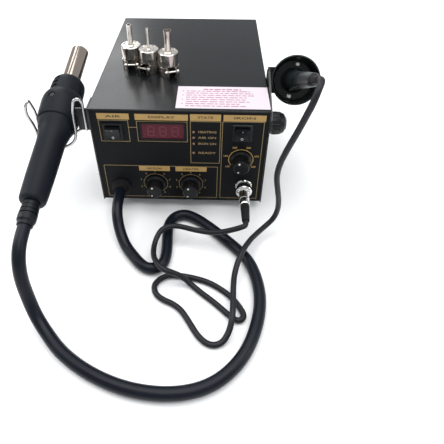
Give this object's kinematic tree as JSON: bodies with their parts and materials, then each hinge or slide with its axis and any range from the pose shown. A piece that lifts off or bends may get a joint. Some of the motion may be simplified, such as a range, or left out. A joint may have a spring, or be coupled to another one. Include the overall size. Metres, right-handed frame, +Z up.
{
  "type": "hot air rework station",
  "caption": "Bench rework station with a hot air gun in a wire cradle, a soldering iron in a tilted holder, dials, switches, a digital display and spare nozzles.",
  "frame": {"origin": "middle of the footprint of the station with its tools, on the bench", "axes": "+Z up, front panel faces -Y, hot air gun on the -X side"},
  "size_m": [0.3021, 0.4801, 0.2021],
  "materials": {
    "case_black": "satin black powder coat",
    "panel_black": "matt black front plate with printed legends",
    "zinc": "zinc-plated sheet",
    "screw_black": "blackened steel screws",
    "rubber_black": "moulded rubber",
    "label_white": "printed adhesive label",
    "bezel_black": "black moulding",
    "window_red": "dark red display filter",
    "board_green": "circuit board",
    "lamp_lens": "small lamp lenses",
    "switch_black": "rocker switch moulding",
    "knob_black": "ribbed control knob",
    "shaft_alu": "turned shaft",
    "pot_metal": "potentiometer cans",
    "chrome": "bright chrome",
    "cord_black": "soft silicone cord",
    "hose_black": "soft ribless air hose",
    "gun_plastic": "heat-proof moulding",
    "ceramic_core": "heater former",
    "bracket_black": "black sheet bracket",
    "tube_steel": "perforated steel tube",
    "iron_plastic": "iron handle moulding",
    "steel": "stainless steel",
    "tip_iron": "plated soldering tip",
    "inner_iron": "laminated core and winding",
    "pump_alu": "cast pump body",
    "inner_rubber": "inner air tube"
  },
  "bodies": {
    "station": {"base_tray": "zinc", "top_cover": "case_black", "front_panel": "panel_black", "rear_panel": "case_black", "rubber_feet": "rubber_black", "pan_screws": "screw_black", "top_label": "label_white", "display_bezel": "bezel_black", "display_window": "window_red", "display_module": "board_green", "pilot_lamps": "lamp_lens", "air_switch_housing": "switch_black", "iron_switch_housing": "switch_black", "potentiometers": "pot_metal", "iron_socket": "chrome", "plug_body": "chrome", "plug_boot": "rubber_black", "iron_cord": "cord_black", "hose_gland": "rubber_black", "air_hose": "hose_black", "air_tube": "inner_rubber", "gun_bracket": "bracket_black", "gun_cradle": "chrome", "holder_bracket": "bracket_black", "holder_cup": "iron_plastic", "cup_screws": "screw_black", "holder_tube": "tube_steel", "transformer": "inner_iron", "pump_body": "pump_alu", "main_board": "board_green", "power_inlet": "bezel_black"},
    "air_switch": {"air_switch_rocker": "switch_black"},
    "iron_switch": {"iron_switch_rocker": "switch_black"},
    "temperature_dial": {"temperature_knob": "knob_black", "temperature_shaft": "shaft_alu"},
    "airflow_dial": {"airflow_knob": "knob_black", "airflow_shaft": "shaft_alu"},
    "heater_dial": {"heater_knob": "knob_black", "heater_shaft": "shaft_alu"},
    "gun": {"gun_handle": "gun_plastic", "gun_collar": "gun_plastic", "collar_screws": "screw_black", "gun_head": "gun_plastic", "gun_barrel": "chrome", "heater_core": "ceramic_core", "hose_sleeve": "rubber_black"},
    "iron": {"iron_handle": "iron_plastic", "iron_barrel": "steel", "iron_tip": "tip_iron", "iron_boot": "rubber_black"},
    "plug_ring": {"plug_coupling_ring": "chrome"},
    "clamp": {"clamp_knob": "knob_black"},
    "nozzle_a": {"nozzle_1": "steel", "nozzle_1_clamp": "steel"},
    "nozzle_b": {"nozzle_2": "steel", "nozzle_2_clamp": "steel"},
    "nozzle_c": {"nozzle_3": "steel", "nozzle_3_clamp": "steel"},
    "fuse": {"fuse_drawer": "bezel_black"},
    "pump_arm": {"pump_armature": "zinc"}
  },
  "joints": [
    {"name": "air_switch_rock", "type": "hinge", "parent": "station", "child": "air_switch", "pos_m": [-0.0642, -0.0726, 0.1075], "axis": [-1, 0, 0], "range_deg": [0, 20]},
    {"name": "iron_switch_rock", "type": "hinge", "parent": "station", "child": "iron_switch", "pos_m": [0.0713, -0.0726, 0.1085], "axis": [-1, 0, 0], "range_deg": [0, 20]},
    {"name": "temperature_turn", "type": "hinge", "parent": "station", "child": "temperature_dial", "pos_m": [0.0718, -0.0756, 0.0735], "axis": [0, 1, 0], "range_deg": [0, 300]},
    {"name": "airflow_turn", "type": "hinge", "parent": "station", "child": "airflow_dial", "pos_m": [-0.0237, -0.0756, 0.037], "axis": [0, 1, 0], "range_deg": [0, 300]},
    {"name": "heater_turn", "type": "hinge", "parent": "station", "child": "heater_dial", "pos_m": [0.0168, -0.0756, 0.037], "axis": [0, 1, 0], "range_deg": [0, 300]},
    {"name": "gun_lift", "type": "slide", "parent": "station", "child": "gun", "axis": [0, 0, 1], "range_m": [0, 0.06]},
    {"name": "iron_pull", "type": "slide", "parent": "station", "child": "iron", "axis": [0, -0.8829, 0.4695], "range_m": [0, 0.09], "deforming": ["iron_cord"]},
    {"name": "plug_ring_turn", "type": "hinge", "parent": "station", "child": "plug_ring", "pos_m": [0.0773, -0.0756, 0.036], "axis": [0, 1, 0], "continuous": true},
    {"name": "clamp_turn", "type": "hinge", "parent": "station", "child": "clamp", "pos_m": [0.0058, -0.0676, 0.1165], "axis": [1, 0, 0], "continuous": true},
    {"name": "nozzle_a_lift", "type": "slide", "parent": "station", "child": "nozzle_a", "axis": [0, 0, 1], "range_m": [0, 0.05]},
    {"name": "nozzle_b_lift", "type": "slide", "parent": "station", "child": "nozzle_b", "axis": [0, 0, 1], "range_m": [0, 0.05]},
    {"name": "nozzle_c_lift", "type": "slide", "parent": "station", "child": "nozzle_c", "axis": [0, 0, 1], "range_m": [0, 0.05]},
    {"name": "fuse_pull", "type": "slide", "parent": "station", "child": "fuse", "axis": [0, 1, 0], "range_m": [0, 0.018]},
    {"name": "pump_arm_rock", "type": "hinge", "parent": "station", "child": "pump_arm", "pos_m": [-0.0412, 0.0804, 0.045], "axis": [0, 0, 1], "range_deg": [-4, 4], "stiffness_Nm_per_rad": 0.05}
  ]
}
